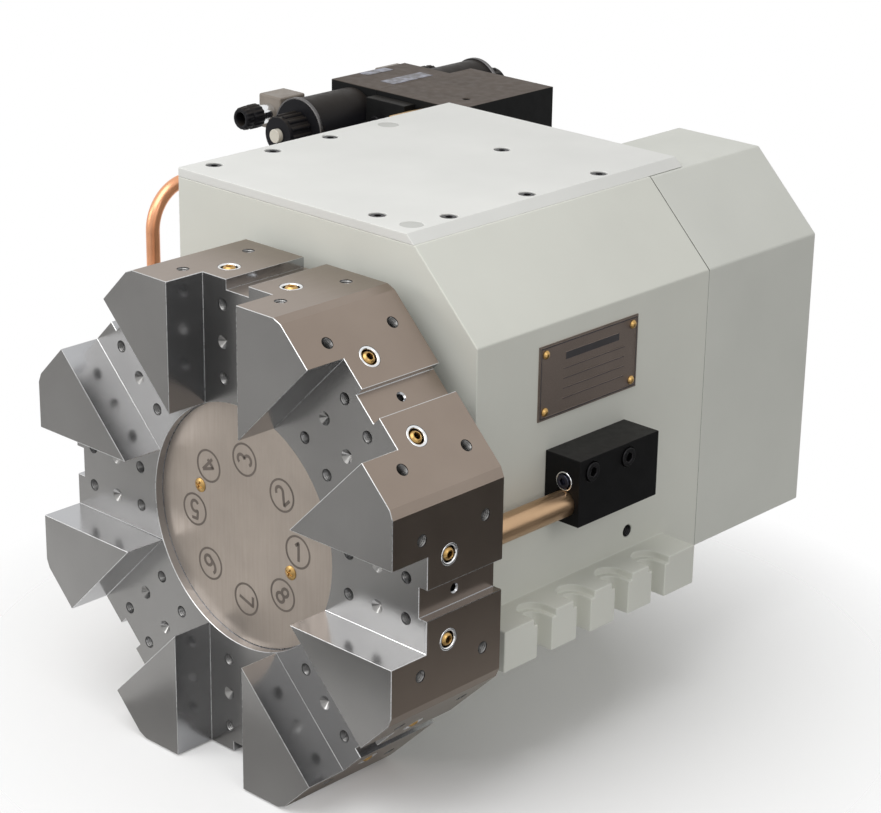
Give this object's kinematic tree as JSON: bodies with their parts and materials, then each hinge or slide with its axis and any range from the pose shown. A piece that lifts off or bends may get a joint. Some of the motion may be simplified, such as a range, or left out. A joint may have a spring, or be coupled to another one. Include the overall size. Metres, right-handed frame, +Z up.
{
  "type": "lathe tool turret",
  "caption": "Disc tool turret for a lathe: a many-sided indexing disc with tool channels on a painted housing, with coolant feed and a hydraulic clamping valve.",
  "frame": {"origin": "on the base face, under the turning axis and midway along the feet", "axes": "+Z up, -Y towards the tool disc along the turning axis, +X towards the coolant block"},
  "size_m": [0.5156, 0.575, 0.3721],
  "materials": {
    "housing_paint": "satin cream paint on a casting",
    "cover_paint": "satin cream paint on sheet metal",
    "top_paint": "satin pale paint on plate",
    "disc_steel": "ground and milled steel",
    "cap_steel": "satin turned steel",
    "brass": "machined brass",
    "bright_steel": "bright plated steel",
    "black_screws": "black oxide screws",
    "plain_screws": "zinc plated steel",
    "inner_steel": "ground steel, oiled",
    "bearing_steel": "polished bearing steel",
    "seal_rubber": "black nitrile rubber",
    "switch_body": "plated sensor barrel",
    "motor_black": "black painted motor",
    "nameplate_metal": "bare etched plate",
    "black_oxide": "black oxide on milled steel",
    "copper": "drawn copper, dulled",
    "coil_plastic": "black moulded coil and nut",
    "button_cream": "cream moulded plastic",
    "plug_grey": "grey moulded plug"
  },
  "bodies": {
    "housing": {"fixed_ring": "inner_steel", "fixed_ring_screws": "black_screws", "housing_seals": "seal_rubber", "guide_sleeve": "inner_steel", "bearing_outer_rings": "bearing_steel", "bearing_retainer": "inner_steel", "retainer_screws": "black_screws", "lock_switches": "switch_body", "main_housing": "housing_paint", "top_plate": "top_paint", "top_screws": "black_screws", "top_plugs": "top_paint", "rear_plate": "housing_paint", "drive_screws": "black_screws", "idler_axle": "inner_steel", "servo_motor": "motor_black", "rear_cover": "cover_paint", "cover_posts": "plain_screws", "cover_screws": "plain_screws", "nameplate": "nameplate_metal", "nameplate_rivets": "brass", "coolant_block": "black_oxide", "coolant_screws": "black_screws", "guide_screw": "plain_screws", "coolant_spring": "inner_steel", "copper_pipe": "copper", "pipe_fittings": "brass", "valve_bracket": "black_oxide", "bracket_screws": "black_screws", "manifold_block": "black_oxide", "valve_body": "black_oxide", "valve_screws": "black_screws", "valve_coils": "coil_plastic", "coil_nuts": "coil_plastic", "valve_plugs": "plug_grey", "plug_necks": "bright_steel", "plug_glands": "coil_plastic"},
    "turning_disc": {"tool_disc": "disc_steel", "disc_cap": "cap_steel", "cap_screws": "brass", "disc_bolts": "black_screws", "dowel_pins": "bright_steel", "nozzle_rings": "bright_steel", "nozzle_balls": "brass", "spindle": "inner_steel", "rotating_ring": "inner_steel", "ring_screws": "black_screws", "spindle_gear": "inner_steel", "gear_key": "inner_steel", "bearing_inner_rings": "bearing_steel", "bearing_balls": "bearing_steel"},
    "lock_piston": {"locking_ring": "inner_steel", "piston_seals": "seal_rubber"},
    "idler": {"idler_gears": "inner_steel"},
    "motor_rotor": {"motor_shaft": "inner_steel", "motor_pinion": "inner_steel"},
    "sprung_tube": {"coolant_tube": "brass"},
    "front_push": {"front_button": "button_cream"},
    "rear_push": {"rear_button": "button_cream"},
    "spool": {"valve_spool": "inner_steel"}
  },
  "joints": [
    {"name": "disc_index", "type": "hinge", "parent": "housing", "child": "turning_disc", "pos_m": [0, -0.166, 0.08], "axis": [0, 1, 0], "continuous": true},
    {"name": "idler_spin", "type": "hinge", "parent": "housing", "child": "idler", "pos_m": [0, 0.12, 0.16], "axis": [0, 1, 0], "continuous": true},
    {"name": "pinion_spin", "type": "hinge", "parent": "housing", "child": "motor_rotor", "pos_m": [0.062, 0.15, 0.1925], "axis": [0, 1, 0], "continuous": true},
    {"name": "lock_slide", "type": "slide", "parent": "housing", "child": "lock_piston", "axis": [0, 1, 0], "range_m": [-0.0052, 0]},
    {"name": "tube_slide", "type": "slide", "parent": "housing", "child": "sprung_tube", "axis": [0, 1, 0], "range_m": [0, 0.004], "stiffness_N_per_m": 2000, "springref_m": -0.003, "deforming": ["coolant_spring"]},
    {"name": "spool_shift", "type": "slide", "parent": "housing", "child": "spool", "axis": [0, 1, 0], "range_m": [0, 0.003]},
    {"name": "front_button_slide", "type": "slide", "parent": "housing", "child": "front_push", "axis": [0, 1, 0], "range_m": [0, 0.003]},
    {"name": "rear_button_slide", "type": "slide", "parent": "housing", "child": "rear_push", "axis": [0, 1, 0], "range_m": [0, 0.003]}
  ],
  "couplings": [
    {"joint": "idler_spin", "follows": "disc_index", "ratio": -3},
    {"joint": "pinion_spin", "follows": "disc_index", "ratio": 7.5},
    {"joint": "front_button_slide", "follows": "spool_shift", "ratio": 1},
    {"joint": "rear_button_slide", "follows": "spool_shift", "ratio": 1}
  ]
}
